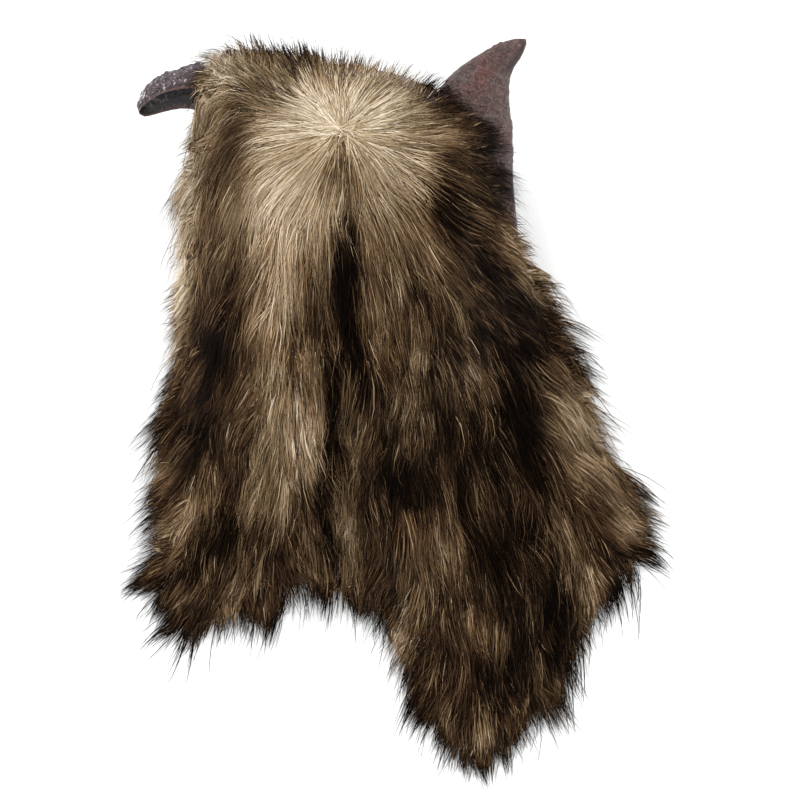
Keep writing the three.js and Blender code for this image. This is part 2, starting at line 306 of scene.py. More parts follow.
# Mostly the fur's own lighter and darker colour; the thin dark marks in creases, folds and between locks
# are painted shade, and one light patch is painted light
patchesAndPaintedShade = [  # x, y, half width, half height, lean in degrees, lighter or darker
    (342, 126, 84, 54, 0, 0.5), (385, 84, 34, 20, 10, 0.16), (285, 118, 28, 40, 0, 0.1),
    (262, 190, 22, 52, 4, 0.34), (300, 200, 34, 40, 0, 0.26), (345, 205, 40, 22, 0, 0.14),
    (396, 180, 26, 36, -20, 0.22), (212, 72, 20, 28, 12, 0.36), (196, 118, 15, 44, 8, 0.34),
    (184, 205, 15, 52, 5, 0.36), (177, 290, 13, 52, 4, 0.38), (170, 365, 11, 26, 4, 0.22),
    (282, 262, 26, 46, 6, 0.34), (280, 330, 28, 44, 0, 0.27), (280, 395, 24, 40, -8, 0.33),
    (292, 455, 22, 36, -10, 0.27), (318, 440, 12, 40, -10, 0.22), (316, 528, 14, 26, 0, 0.3),
    (268, 505, 20, 26, 0, 0.14), (240, 470, 18, 40, 0, 0.06), (186, 522, 26, 30, 20, 0.36),
    (400, 335, 22, 30, 0, 0.16), (462, 372, 26, 20, 0, 0.1), (538, 268, 16, 24, -30, 0.26),
    (480, 214, 20, 12, 20, 0.16), (590, 432, 28, 34, -10, 0.42), (566, 404, 18, 16, 0, 0.14),
    (450, 548, 26, 16, 0, 0.22), (586, 588, 18, 18, 0, 0.22), (350, 528, 12, 38, -6, 0.32),
    (402, 562, 18, 18, 0, 0.14), (425, 628, 14, 12, 0, 0.12), (640, 520, 20, 24, 0, 0.24),
    (300, 66, 26, 13, 8, -0.2), (212, 352, 16, 40, 6, -0.38), (204, 404, 16, 26, 0, -0.2),
    (214, 536, 20, 28, 0, -0.2), (190, 577, 34, 14, -30, -0.2), (240, 560, 16, 26, 0, -0.1),
    # painted shade: the dark streak between the crown's lobes and the dark line where the panels meet
    (348, 272, 11, 48, 2, -0.52), (350, 340, 10, 28, -14, -0.44), (329, 345, 6, 30, 0, -0.16),
    (334, 395, 5, 30, 4, -0.35), (332, 448, 5, 30, 0, -0.4), (323, 493, 5, 24, 10, -0.4),
    (323, 528, 5, 22, -15, -0.4), (336, 568, 6, 14, -25, -0.2), (364, 376, 9, 30, -14, -0.44),
    # thin dark lines: painted shade between the fur's lumps and locks
    (305, 337, 26, 4, 20, -0.16), (316, 425, 16, 3, 20, -0.12), (391, 312, 3, 30, 0, -0.14),
    (386, 385, 3, 40, 0, -0.12), (436, 460, 4, 40, 4, -0.12), (374, 300, 9, 18, 0, 0.1),
    (448, 178, 22, 34, 0, -0.3), (465, 236, 34, 20, 20, -0.22), (500, 206, 16, 14, 0, -0.2),
    (494, 280, 40, 16, 45, -0.26), (546, 332, 34, 15, 50, -0.26), (500, 345, 36, 22, 20, -0.2),
    (590, 392, 16, 10, 45, -0.1), (524, 405, 18, 36, 0, -0.32), (540, 478, 15, 34, 0, -0.22),
    (480, 440, 40, 30, 0, -0.22), (500, 490, 26, 30, 0, -0.16), (520, 560, 20, 30, 0, -0.2),
    (486, 562, 20, 34, 0, -0.24), (560, 610, 28, 34, 0, -0.26), (510, 680, 28, 24, 0, -0.18),
    (462, 680, 18, 40, 0, -0.26), (440, 650, 18, 20, 0, -0.14), (540, 655, 22, 24, 0, -0.14),
    (396, 480, 22, 34, 0, -0.14), (424, 470, 18, 40, 0, -0.22), (450, 390, 24, 24, 0, -0.16),
    (590, 520, 20, 20, 0, -0.14), (604, 556, 18, 20, 0, -0.12), (475, 600, 20, 24, 0, -0.14),
    (204, 130, 13, 60, 12, 0.2), (194, 225, 15, 70, 4, 0.16), (172, 260, 9, 100, 0, 0.12),
    (263, 84, 12, 16, 35, -0.24), (247, 105, 13, 18, 40, -0.22), (237, 134, 12, 24, 25, -0.15),
    (229, 172, 10, 34, 6, -0.1), (216, 286, 9, 34, 0, -0.12),
    (215, 350, 14, 30, 0, -0.14), (240, 53, 28, 12, 0, 0.18), (300, 56, 26, 14, 0, -0.16),
    (342, 146, 34, 24, 0, -0.14), (341, 156, 12, 16, 0, -0.22), (440, 160, 20, 24, 0, 0.1),
    (450, 228, 12, 14, 0, -0.18), (535, 250, 14, 18, -30, 0.2), (552, 290, 10, 30, -20, 0.22),
    (250, 290, 12, 60, 0, 0.1), (325, 245, 10, 20, 0, 0.12), (350, 255, 13, 40, 0, -0.1),
    (222, 372, 16, 40, 0, -0.1), (410, 378, 34, 14, 0, -0.1), (500, 395, 26, 26, 0, -0.14),
    (528, 355, 20, 16, 0, -0.12), (400, 430, 20, 26, 0, -0.08), (455, 425, 22, 20, 0, -0.1),
    (525, 455, 16, 22, 0, -0.14), (425, 490, 14, 28, 0, -0.08), (354, 428, 12, 30, 0, 0.16),
    (520, 520, 22, 26, 0, -0.2), (480, 545, 14, 20, 0, -0.16), (575, 500, 12, 14, 0, -0.1),
    # the first patch on this line is painted light, for hair at the hem's notch lit from behind
    (200, 550, 14, 16, 0, -0.1), (318, 580, 32, 14, 0, 0.3), (560, 592, 26, 16, 0, -0.14),
    (450, 622, 16, 18, 0, -0.1), (495, 688, 24, 20, 0, -0.2), (600, 398, 14, 22, 0, 0.24),
    (618, 475, 14, 18, 0, 0.18), (574, 350, 10, 20, 0, 0.2), (176, 340, 10, 40, 0, 0.14),
    (152, 450, 12, 50, 0, 0.1), (148, 575, 20, 20, 0, 0.1), (230, 610, 60, 16, 0, 0.08),
    (400, 640, 14, 30, 20, 0.12), (475, 745, 40, 18, 0, 0.1), (385, 62, 30, 10, 10, 0.12),
    (384, 250, 11, 20, 0, 0.16), (362, 292, 8, 16, 0, 0.16), (397, 305, 12, 18, 0, 0.1),
    (445, 292, 13, 20, -20, 0.16), (474, 367, 12, 16, 0, 0.2), (343, 372, 5, 20, 0, 0.12),
    (347, 440, 10, 24, 0, 0.06), (405, 430, 10, 20, 0, 0.12), (233, 240, 6, 18, 0, 0.16),
    (407, 268, 5, 14, 0, -0.14), (455, 338, 7, 20, 0, -0.14), (430, 372, 10, 10, 0, -0.12),
    (398, 175, 14, 24, 0, -0.05), (375, 150, 14, 16, 0, -0.08), (400, 118, 22, 14, 30, 0.06),
    (350, 215, 30, 14, 0, 0.08), (175, 300, 8, 60, 0, 0.1), (226, 200, 8, 80, 4, 0.16),
    # thin dark lines: painted shade in the folds of the lower pelt
    (415, 606, 32, 4, 8, -0.2), (566, 586, 34, 5, -18, -0.26), (620, 566, 24, 5, -24, -0.2),
    (500, 668, 26, 10, -12, -0.14), (399, 628, 10, 12, 0, 0.14), (586, 600, 16, 10, -20, 0.14),
    (590, 428, 24, 24, 0, -0.13), (528, 300, 14, 12, 40, 0.12), (318, 380, 9, 30, 0, 0.08),
    (470, 372, 10, 14, 0, 0.1), (500, 745, 8, 16, 0, -0.18), (468, 730, 14, 14, 0, -0.24),
    (190, 160, 16, 70, 6, -0.05), (340, 157, 12, 14, 0, -0.14), (350, 62, 40, 8, 6, -0.16),
    (412, 82, 30, 8, 16, -0.2), (442, 100, 14, 14, 40, -0.14), (441, 186, 9, 40, -10, -0.2),
    (474, 188, 16, 9, 20, 0.1), (300, 262, 10, 20, 0, -0.06), (250, 330, 12, 50, 0, -0.04),
    (236, 52, 32, 12, 0, 0.14), (470, 372, 24, 14, 0, 0.1), (500, 480, 50, 14, 10, -0.05),
    (435, 330, 14, 22, -10, 0.08), (520, 250, 14, 10, 30, 0.1), (186, 522, 16, 22, 20, 0.08),
    (316, 520, 12, 34, 0, -0.1), (225, 78, 24, 28, 20, 0.1), (600, 596, 18, 12, -40, 0.03),
    # the first patch on this line is painted shade in a fold
    (610, 572, 26, 6, -30, -0.16), (435, 98, 14, 10, 30, -0.1),
]
coat = {  # sizes are in pixels
    "margin": 80,  # how far past the picture the charts go
    "flowGrid": 8,
    "combReach": 16,  # how far each direction holds before the others count
    "combFall": 1.6,
    "whorlRadius": (66, 128),  # hair leaves the whorl straight, then turns to the combing
    "shadeGrid": 4,
    "middling": 0.38,
    "patchFall": 1.3,  # how sharply a patch of shade ends
    "mottle": 0.12,
    "mottleSize": 21,
    "mottleLong": 1.7,
    "mottleRadius": (60, 130),
}


def pictureGrid(step):
    axis = np.arange(-coat["margin"], view["picture"] + coat["margin"] + 1, step, dtype=float)
    return np.meshgrid(axis, axis)


def pictureChart(values, step):
    return Chart(values, (-coat["margin"], -coat["margin"]), step)


def combedCharts():
    step = coat["flowGrid"]
    gx, gy = pictureGrid(step)
    flowX, flowY = np.zeros(gx.shape), np.zeros(gx.shape)
    for x, y, way in combing:
        near = 1 / ((gx - x) ** 2 + (gy - y) ** 2 + coat["combReach"] ** 2) ** coat["combFall"]
        flowX += near * math.cos(math.radians(way))
        flowY += near * math.sin(math.radians(way))
    length = np.hypot(flowX, flowY)
    outX, outY = gx - whorl[0], gy - whorl[1]
    far = np.hypot(outX, outY) + 1e-6
    held = smooth(far, *coat["whorlRadius"])
    flowX = held * flowX / length + (1 - held) * outX / far
    flowY = held * flowY / length + (1 - held) * outY / far
    return pictureChart(flowX, step), pictureChart(flowY, step)


def shadeChart():
    step = coat["shadeGrid"]
    gx, gy = pictureGrid(step)
    tone = np.full(gx.shape, coat["middling"])
    for x, y, wide, tall, lean, amount in patchesAndPaintedShade:
        turn = math.radians(lean)
        dx, dy = gx - x, gy - y
        across = (dx * math.cos(turn) + dy * math.sin(turn)) / wide
        along = (dy * math.cos(turn) - dx * math.sin(turn)) / tall
        tone += amount * np.exp(-((across**2 + along**2) ** coat["patchFall"]))
    size, long = coat["mottleSize"], coat["mottleLong"]
    mottle = cloud(gx, gy / long, size, 51) + 0.6 * cloud(gx, gy / long, size / 2, 52)
    calm = smooth(np.hypot(gx - whorl[0], gy - whorl[1]), *coat["mottleRadius"])
    return pictureChart(tone + coat["mottle"] * mottle * calm, step)


flowX, flowY = combedCharts()
shade = shadeChart()


def combed(x, y, z, turn):  # the way the hair lies on plan, turned a little
    px, py = seen(x, y, z)
    dx, dy = flowX.read(px, py), -flowY.read(px, py)
    length = np.hypot(dx, dy) + 1e-9
    c, s = np.cos(turn), np.sin(turn)
    return (dx * c - dy * s) / length, (dx * s + dy * c) / length


def fromWhorl(x, y, z):  # in pixels
    px, py = seen(x, y, z)
    return np.hypot(px - whorl[0], py - whorl[1])


seam = (  # the line between the panels in the photograph: heights, and how far right it is there
    (40, 130, 240, 300, 345, 380, 400, 430, 463, 493, 523, 550, 580, 800),
    (344, 342, 348, 349, 340, 333, 335, 331, 332, 323, 320, 330, 340, 345),
)


def leftOfSeam(x, y, z):
    px, py = seen(x, y, z)
    return px < np.interp(py, *seam)


# Hair, as tapered ribbons that follow the surface from a root under it

hair = {
    "bends": 4,
    "width": (0.00042, 0.0008),
    "taper": 3.5,
    "roll": 0.35,  # how far a ribbon turns about its own length, in radians
    "depth": 0.016,  # how far under the surface a root is
    "shallow": 0.03,  # and how much of that at the whorl
    "shallowRadius": (4, 80),  # in pixels, as all these radii are
    "lowest": 0.0009,
    "wander": 0.19,  # how far single hairs stray from the combing, in radians
    "sway": 0.42,  # how far whole tufts do
    "curl": 0.55,  # how far a tuft turns from root to tip
    "uneven": 0.15,  # how far tufts differ in length
    "tuft": 0.010,
    "lock": 0.030,
    "tuftPull": 0.6,
    "lockPull": 0.42,
    "calm": 0.3,  # how much of all that is left round the whorl
    "calmRadius": (50, 160),
    "straightRadius": (10, 34),  # hair keeps its first direction here
    "crossing": 5.0,  # but crosses at the very middle
    "crossRadius": 14,
    "crossShort": 0.45,  # and is this much shorter there
    "partEdge": 1.0,  # how far the upper hair keeps from the line between the panels, in pixels
    "partSpan": ((285, 335), (565, 590)),  # where that line opens and closes, down the picture
    "ragged": 0.7,  # how unevenly the fur ends at its hem
    "raggedHead": 0.35,  # and how much of that at the head
    "raggedSize": 0.026,
    "wisp": 0.007,  # how far single hairs reach past the others
    "shortest": 0.15,  # the least share of a hair that is left at the fur's edge
    "lockRise": 0.0045,  # how far some locks lie over their neighbours
    "tuftRise": 0.0018,
    "crease": 0.005,  # how deep the fur parts between locks
    "creaseSpan": (0.28, 0.62),  # from where to where out of a lock's middle
    "soft": 0.7,  # how far a hair is lit like the whole pelt and not like a ribbon
    "mapWidth": 0.012,  # half a ribbon's width in its UV map
    "pastBox": (0.019, 0.024),
}
top = {"count": 102000, "length": (0.042, 0.072), "slack": (-0.024, 0.0)}
side = {
    "count": 22000,
    "length": (0.030, 0.055),
    "slack": (-0.018, -0.002),
    "inset": 0.012,  # how far inside the edge its roots are, and how much farther at the most
    "spread": 0.3,
    "rounding": 4,  # how many points of the edge either way are evened out
    "measure": 0.006,  # the edge's direction is taken between places this far either way
    "lean": 0.3,  # how far the side faces up
    "drop": (0.2, 0.9, 0.6),  # how steeply hair hangs, and how much more at its tip and at the head
    "headCombing": 0.35,  # how much less the combing counts at the head
    "over": (-0.002, 0.010),  # how far hair may lie over the pile at the hem and at the head
    "least": 0.002,  # the side is at least this high
    "lowest": 0.0012,
    "scale": 14,  # tufts are this much wider up the side than along it, by the roots' own measure
    "tone": -0.08,
}
stray = {
    "count": 5000,
    "length": (0.050, 0.085),
    "slack": (-0.002, 0.022),
    "lift": 0.008,
    "thin": 0.7,
    "tone": -0.2,
}
wisps = [  # dark hair past the edge: a circle on the picture, most hairs, length, slack and thickness
    ((462, 138, 62), 1100, (0.040, 0.085), (0.004, 0.034), 0.6),
    ((232, 56, 22), 260, (0.030, 0.050), (0.004, 0.020), 0.9),
    ((302, 60, 24), 420, (0.030, 0.050), (0.006, 0.018), 0.9),
    ((646, 548, 24), 150, (0.060, 0.100), (0.010, 0.055), 1.1),
    ((590, 630, 40), 160, (0.050, 0.085), (0.004, 0.034), 1.1),
    ((320, 570, 34), 420, (0.030, 0.060), (0.002, 0.018), 0.6),
    ((190, 600, 50), 200, (0.040, 0.080), (0.004, 0.030), 1.1),
    ((480, 740, 44), 420, (0.040, 0.070), (0.000, 0.020), 0.6),
    ((424, 104, 17), 1600, (0.026, 0.045), (-0.004, 0.010), 1.1),
]
wispCommon = {"lift": 0.004, "tone": -0.3}


def surfacePath(x, y, turn, curl, length, bends):
    track, normals = [], []
    z = furTop.read(x, y)
    firstX, firstY = combed(x, y, z, turn)
    straight = 1 - smooth(fromWhorl(x, y, z), *hair["straightRadius"])
    for step in range(bends + 1):
        z = furTop.read(x, y)
        slopeX, slopeY = furSlopeX.read(x, y), furSlopeY.read(x, y)
        track.append(np.stack([x, y, z], 1))
        normals.append(unit(np.stack([-slopeX, -slopeY, np.ones_like(x)], 1)))
        dx, dy = combed(x, y, z, turn + curl * step / bends)
        dx, dy = dx + (firstX - dx) * straight, dy + (firstY - dy) * straight
        rise = slopeX * dx + slopeY * dy
        go = length / bends / np.sqrt(1 + rise * rise)
        x, y = x + dx * go, y + dy * go
    return np.stack(track, 1), np.stack(normals, 1)


def rounded(loop, reach):
    return sum(np.roll(loop, turn, axis=0) for turn in range(-reach, reach + 1)) / (2 * reach + 1)


wallEdge = rounded(furEdge, side["rounding"])
wallEdge = np.vstack([wallEdge, wallEdge[:1]])
edgeRun = np.concatenate([[0], np.cumsum(np.hypot(*np.diff(wallEdge[:, :2], axis=0).T))])


def edgePlace(run):
    return [np.interp(run % edgeRun[-1], edgeRun, wallEdge[:, i]) for i in range(4)]


def wallPlace(run):  # a place a little inside the fur's edge, and the way out from there
    x, y, high, foot = edgePlace(run)
    ahead, behind = edgePlace(run + side["measure"]), edgePlace(run - side["measure"])
    alongX, alongY = ahead[0] - behind[0], ahead[1] - behind[1]
    size = np.hypot(alongX, alongY) + 1e-9
    outX, outY = alongY / size, -alongX / size
    x, y = x - outX * side["inset"], y - outY * side["inset"]
    for _ in range(2):
        short = np.clip(side["inset"] - furDepth.read(x, y), 0, side["inset"])
        x, y = x - outX * short, y - outY * short
    return x, y, np.minimum(high, furTop.read(x, y)), foot, outX, outY


def wallPath(run, share, turn, curl, length, bends):  # share is how far up the side the root is
    x, y, high, foot, outX, outY = wallPlace(run)
    head = smooth(high, *pelt["headLevels"])
    place = np.stack([x, y, foot + share * np.maximum(high - foot, side["least"])], 1)
    normal = unit(np.stack([outX, outY, np.full_like(x, side["lean"])], 1))
    drop, tipDrop, headDrop = side["drop"]
    track = []
    for step in range(bends + 1):
        part = step / bends
        track.append(place.copy())
        dx, dy = combed(*place.T, turn + curl * part)
        held = 1 - head * side["headCombing"] * (1 + part)
        dx, dy = dx * held + side["spread"] * outX, dy * held + side["spread"] * outY
        go = unit(np.stack([dx, dy, -(drop + tipDrop * part + headDrop * head)], 1))
        place = place + go * (length / bends)[:, None]
        x, y, z = place.T
        cover = furTop.read(x, y) + mixed(*side["over"], head)
        z = np.where(furDepth.read(x, y) > 0, np.minimum(z, cover), z)
        place[:, 2] = np.maximum(z, side["lowest"])
    return np.stack(track, 1), np.repeat(normal[:, None], bends + 1, axis=1)


tuftTable = 400  # tufts to a side before their random values repeat
tuftShift = 0.45  # how far a tuft's middle may lie off its cell's, in cells


def nearestTuft(u, v, size, seed):  # middle and number of the tuft that a root belongs to
    shift = np.random.default_rng(seed).uniform(-tuftShift, tuftShift, (tuftTable, tuftTable, 2))
    i, j = np.floor(u / size).astype(int), np.floor(v / size).astype(int)
    best = np.full(u.shape, 9.0)
    bestU, bestV, key = u.copy(), v.copy(), np.zeros(u.shape, int)
    for di in (-1, 0, 1):
        for dj in (-1, 0, 1):
            a, b = (i + di) % tuftTable, (j + dj) % tuftTable
            tuftU = (i + di + 0.5 + shift[a, b, 0]) * size
            tuftV = (j + dj + 0.5 + shift[a, b, 1]) * size
            far = np.hypot(u - tuftU, v - tuftV)
            closer = far < best
            best = np.where(closer, far, best)
            bestU, bestV = np.where(closer, tuftU, bestU), np.where(closer, tuftV, bestV)
            key = np.where(closer, a * tuftTable + b, key)
    return bestU, bestV, key


def chance(key, seed):  # one random number for each tuft
    return np.random.default_rng(seed).uniform(-1, 1, tuftTable**2)[key]


def keptApart(track):  # the way back, for hair that would lie over the line between the panels
    px, py = seen(*np.moveaxis(track, 2, 0))
    past = px - np.interp(py, *seam)
    ownSide = np.sign(past[:, :1])
    start, end = hair["partSpan"]
    parted = smooth(py, *start) * (1 - smooth(py, *end))
    return ownSide * np.maximum(hair["partEdge"] - ownSide * past, 0) * parted * view["pixel"]


def slackOf(kind, u, v, tip, tuftKey, lockKey):  # how far past the fur's edge each hair may end
    low, high = kind["slack"]
    hem = mixed(hair["raggedHead"], 1, 1 - furHead.read(*tip))
    ragged = 0.5 + 0.3 * chance(lockKey, 27) + 0.2 * chance(tuftKey, 28)
    ragged = ragged + hair["ragged"] * hem * cloud(u, v, hair["raggedSize"], 29)
    return mixed(low, high, ragged) + hair["wisp"] * (rng.exponential(1, len(u)) - 0.5)


def inBox(track):  # which hairs stay close enough to the CAD
    past = np.array(hair["pastBox"])
    most, least = track[:, :, :2].max(axis=1), track[:, :, :2].min(axis=1)
    return ((most < np.array(cadHigh)[:2] + past) & (least > np.array(cadLow)[:2] - past)).all(axis=1)


def growHair(path, u, v, kind):
    count, bends = len(u), hair["bends"]
    scale = kind.get("scale", 1)
    tuftU, tuftV, tuftKey = nearestTuft(u, v / scale, hair["tuft"], 11)
    lockU, lockV, lockKey = nearestTuft(u, v / scale, hair["lock"], 12)
    tuftV, lockV = tuftV * scale, lockV * scale
    length = rng.uniform(*kind["length"], count) * (1 + hair["uneven"] * chance(tuftKey, 23))
    still = np.zeros(count)
    first, _ = path(u, v, still, still, length, bends)
    root, tip, far = first[:, 0], first[:, -1, :2].T, fromWhorl(*first[:, 0].T)
    wild = mixed(hair["calm"], 1, smooth(far, *hair["calmRadius"]))
    sway = hair["sway"] * wild * (0.6 * chance(lockKey, 21) + 0.7 * chance(tuftKey, 22))
    curl = hair["curl"] * wild * (0.6 * chance(lockKey, 25) + 0.6 * chance(tuftKey, 26))
    middle = 1 - smooth(far, 0, hair["crossRadius"])
    wander = hair["wander"] * (1 + hair["crossing"] * middle) * rng.normal(0, 1, count)
    length = length * (1 - hair["crossShort"] * middle)
    tipDepth, rootDepth = furDepth.read(*tip), furDepth.read(*root[:, :2].T)
    slack = slackOf(kind, u, v / scale, tip, tuftKey, lockKey)
    reach = (rootDepth + slack) / np.maximum(rootDepth - tipDepth, 1e-4)
    length = np.where(tipDepth < -slack, length * np.clip(reach, hair["shortest"], 1), length)

    # Each hair's own path, then drawn towards those of its tuft and its lock
    track, normal = path(u, v, sway + wander, curl, length, bends)
    tuftTrack, _ = path(tuftU, tuftV, sway, curl, length, bends)
    lockTrack, _ = path(lockU, lockV, still, curl, length, bends)
    part = np.linspace(0, 1, bends + 1)[None, :, None]
    pull = hair["tuftPull"] * part**1.4 * (wild * (0.75 + 0.25 * chance(tuftKey, 24)))[:, None, None]
    track = mixed(track, tuftTrack, pull)
    track = mixed(track, lockTrack, hair["lockPull"] * wild[:, None, None] * part**1.6)

    # Roots go under the surface, and some tips stay lower in the pile than others
    level = rng.uniform(0, 1, count) ** 1.7
    depth = hair["depth"] * mixed(hair["shallow"], 1, smooth(far, *hair["shallowRadius"]))
    depth = np.minimum(depth, root[:, 2] * 0.6)[:, None, None]
    rise = 1 - (1 - part) ** 2.2
    under = depth * (1 - rise) + depth * 0.55 * rise * level[:, None, None]
    up = kind.get("lift", 0) * part**1.5 * rng.uniform(0.3, 1, count)[:, None, None]
    fromLock = np.hypot(u - lockU, (v - lockV) / scale) / hair["lock"]
    # the border of a lock: the fur dips there and gets painted shade
    parting = smooth(fromLock, *hair["creaseSpan"])
    over = hair["lockRise"] * chance(lockKey, 41) + hair["tuftRise"] * chance(tuftKey, 42)
    over = (over - hair["crease"] * parting) * wild
    track = track + normal * (up + over[:, None, None] * part - under)
    track[:, :, 0] += keptApart(track) * (level < 0.5)[:, None]
    track[:, :, 2] = np.maximum(track[:, :, 2], hair["lowest"])

    # The ribbon's width and the way that it faces
    ahead = unit(np.gradient(track, axis=1))
    across = unit(np.cross(ahead, normal))
    roll = rng.normal(0, hair["roll"], count)[:, None, None]
    across = across * np.cos(roll) + np.cross(ahead, across) * np.sin(roll)
    width = rng.uniform(*hair["width"], count) * kind.get("thin", 1) * (0.72 + 0.28 * wild)
    taper = 1 - part ** hair["taper"]
    # the kind's own tone, less painted shade where the locks part
    toneAndPartingShade = kind.get("tone", 0) - colour["partingShade"] * parting * wild
    grown = hairColour(track, tuftKey, lockKey, level, wild, toneAndPartingShade)
    grown["light"] = unit(mixed(np.cross(across, ahead), normal, hair["soft"]))
    grown["across"] = across * width[:, None, None] * taper / 2
    grown["track"] = track
    keep = inBox(track)
    return {key: values[keep] for key, values in grown.items()}


colour = {
    "slide": 20,  # how far, in pixels, tufts carry a shade along their hair
    "slideHair": 11,
    "tuftTone": 0.10,
    "lockTone": 0.08,
    "hairTone": 0.11,
    # painted shade on each hair near its root, deep in the pile
    "rootShade": -0.12,
    "tipTone": -0.12,
    "darkShare": 0.11,
    "darkCalm": -0.3,  # what is left of that share where the hair lies quite calm
    "darkRoot": 0.65,  # a dark hair keeps this much of its tone at the root
    "darkTip": 0.25,
    "lightShare": 0.06,
    "lightTone": 0.18,
    # painted shade on hair whose tip lies low in the pile
    "lowShade": -0.08,  # tips low in the pile
    # painted shade on hair at the border of a lock, where the fur parts
    "partingShade": 0.08,
    "edgeTone": -0.2,  # hair is dark where it ends past the fur's edge
    "edgeSpan": (-0.010, 0.006),
    "warmth": 0.56,
    "lockWarmth": 0.16,
    "hairWarmth": 0.08,
    "warmthPatches": ((342, 130, 110, 90, -0.3), (470, 380, 150, 120, -0.1)),
}


def hairColour(track, tuftKey, lockKey, level, wild, toneAndPartingShade):
    count, points = track.shape[:2]
    px, py = seen(*np.moveaxis(track, 2, 0))
    fx, fy = flowX.read(px, py), flowY.read(px, py)
    slide = colour["slide"] * chance(tuftKey, 31) + colour["slideHair"] * rng.normal(0, 1, count)
    tone = shade.read(px - fx * slide[:, None], py - fy * slide[:, None])
    mottled = colour["tuftTone"] * chance(tuftKey, 32) + colour["lockTone"] * chance(lockKey, 33)
    tone = tone + (mottled * wild + colour["hairTone"] * rng.normal(0, 1, count))[:, None]
    part = np.linspace(0, 1, points)[None, :]
    # painted shade near the root, and the hair's own darker tip
    rootShadeAndDarkTips = colour["rootShade"] * (1 - part) ** 2 + colour["tipTone"] * part**3
    past = smooth(-furDepth.read(track[:, :, 0], track[:, :, 1]), *colour["edgeSpan"])
    tone = tone + rootShadeAndDarkTips * wild[:, None] + colour["edgeTone"] * past
    dark = rng.uniform(0, 1, count) < colour["darkShare"] * mixed(colour["darkCalm"], 1, wild)
    tone = np.where(dark[:, None], tone * mixed(colour["darkRoot"], colour["darkTip"], part), tone)
    light = rng.uniform(0, 1, count) < colour["lightShare"]
    tone = np.where(light[:, None], tone + colour["lightTone"], tone)
    # painted shade on hair lying low in the pile, and painted shade where the locks part
    tone = tone + (toneAndPartingShade + colour["lowShade"] * level)[:, None]
    warmth = colour["warmth"] + colour["lockWarmth"] * chance(lockKey, 34)
    warmth = warmth + rng.normal(0, colour["hairWarmth"], count)
    for x, y, wide, tall, amount in colour["warmthPatches"]:
        warmth += amount * np.exp(-(((px[:, -1] - x) / wide) ** 2 + ((py[:, -1] - y) / tall) ** 2))
    return {"tone": np.clip(tone, 0.01, 0.97), "warmth": np.clip(warmth, 0.03, 0.97)}


def twice(values, last):  # one value for both corners at each bend, and one for the tip
    return np.concatenate([np.repeat(values[:, :last], 2, axis=1), values[:, last:]], 1)


def ribbonPiece(name, grown, keep):
    grown = {key: values[keep] for key, values in grown.items()}
    count, bends = len(grown["track"]), hair["bends"]
    across = twice(grown["across"], bends)
    across[:, ::2] *= -1
    corners = (twice(grown["track"], bends) + across).reshape(-1, 3)
    each = 2 * bends + 1
    start = (np.arange(count) * each)[:, None]
    quad = np.array([[2 * i, 2 * i + 1, 2 * i + 3, 2 * i + 2] for i in range(bends - 1)]).reshape(-1)
    last = np.array([each - 3, each - 2, each - 1])
    loops = np.concatenate([start + quad, start + last], 1).reshape(-1)
    sides = np.tile([4] * (bends - 1) + [3], count)
    mesh = bpy.data.meshes.new(name)
    mesh.vertices.add(len(corners))
    mesh.vertices.foreach_set("co", corners.reshape(-1))
    mesh.loops.add(len(loops))
    mesh.loops.foreach_set("vertex_index", loops.astype(np.int32))
    mesh.polygons.add(len(sides))
    mesh.polygons.foreach_set("loop_start", (np.cumsum(sides) - sides).astype(np.int32))
    mesh.update(calc_edges=True)
    mesh.validate()
    mesh.polygons.foreach_set("use_smooth", np.ones(len(sides), bool))
    mesh.normals_split_custom_set_from_vertices(twice(grown["light"], bends).reshape(-1, 3))
    tone = twice(grown["tone"], bends).reshape(-1)
    half = np.concatenate([np.tile([-1, 1], bends), [0]])
    warmth = (grown["warmth"][:, None] + hair["mapWidth"] * half).reshape(-1)
    uv = mesh.uv_layers.new(name="OFBake")
    uv.data.foreach_set("uv", np.stack([tone[loops], warmth[loops]], 1).reshape(-1))
    return added(name, mesh)


sowing = {
    "edge": 0.004,  # roots keep this far inside the fur's edge
    "tries": 24,
    "mostOnTop": 8.5,  # the closest that roots are sown, beside those on flat fur
    "crownLevel": 0.24,
    "crownMore": ((0.9, 10, 60), (7.0, 0, 12)),  # more roots near the whorl: how many, in which radii
    "nearTries": 30,
    "nearEdge": 0.045,  # wisps start this near to the fur's edge
    "sideTries": 6,
    "sideHigh": 0.12,  # the side has most roots where it is this high
    "sideLeast": 0.012,
}


def rootsOnTop(count):
    (x0, x1), (y0, y1) = pelt["span"]
    tries = count * sowing["tries"]
    u, v = rng.uniform(x0, x1, tries), rng.uniform(y0, y1, tries)
    steep = np.sqrt(1 + furSlopeX.read(u, v) ** 2 + furSlopeY.read(u, v) ** 2)
    far = fromWhorl(u, v, sowing["crownLevel"])
    dense = 1 + sum(more * (1 - smooth(far, *radii)) for more, *radii in sowing["crownMore"])
    keep = rng.uniform(0, sowing["mostOnTop"], tries) < steep * dense
    keep &= furDepth.read(u, v) > sowing["edge"]
    return u[keep][:count], v[keep][:count]


def rootsNear(kind):
    u, v = rootsOnTop(kind["count"] * sowing["nearTries"])
    px, py = seen(u, v, furTop.read(u, v))
    x, y, reach = kind["near"]
    keep = (np.hypot(px - x, py - y) < reach) & (furDepth.read(u, v) < sowing["nearEdge"])
    return u[keep][: kind["count"]], v[keep][: kind["count"]]


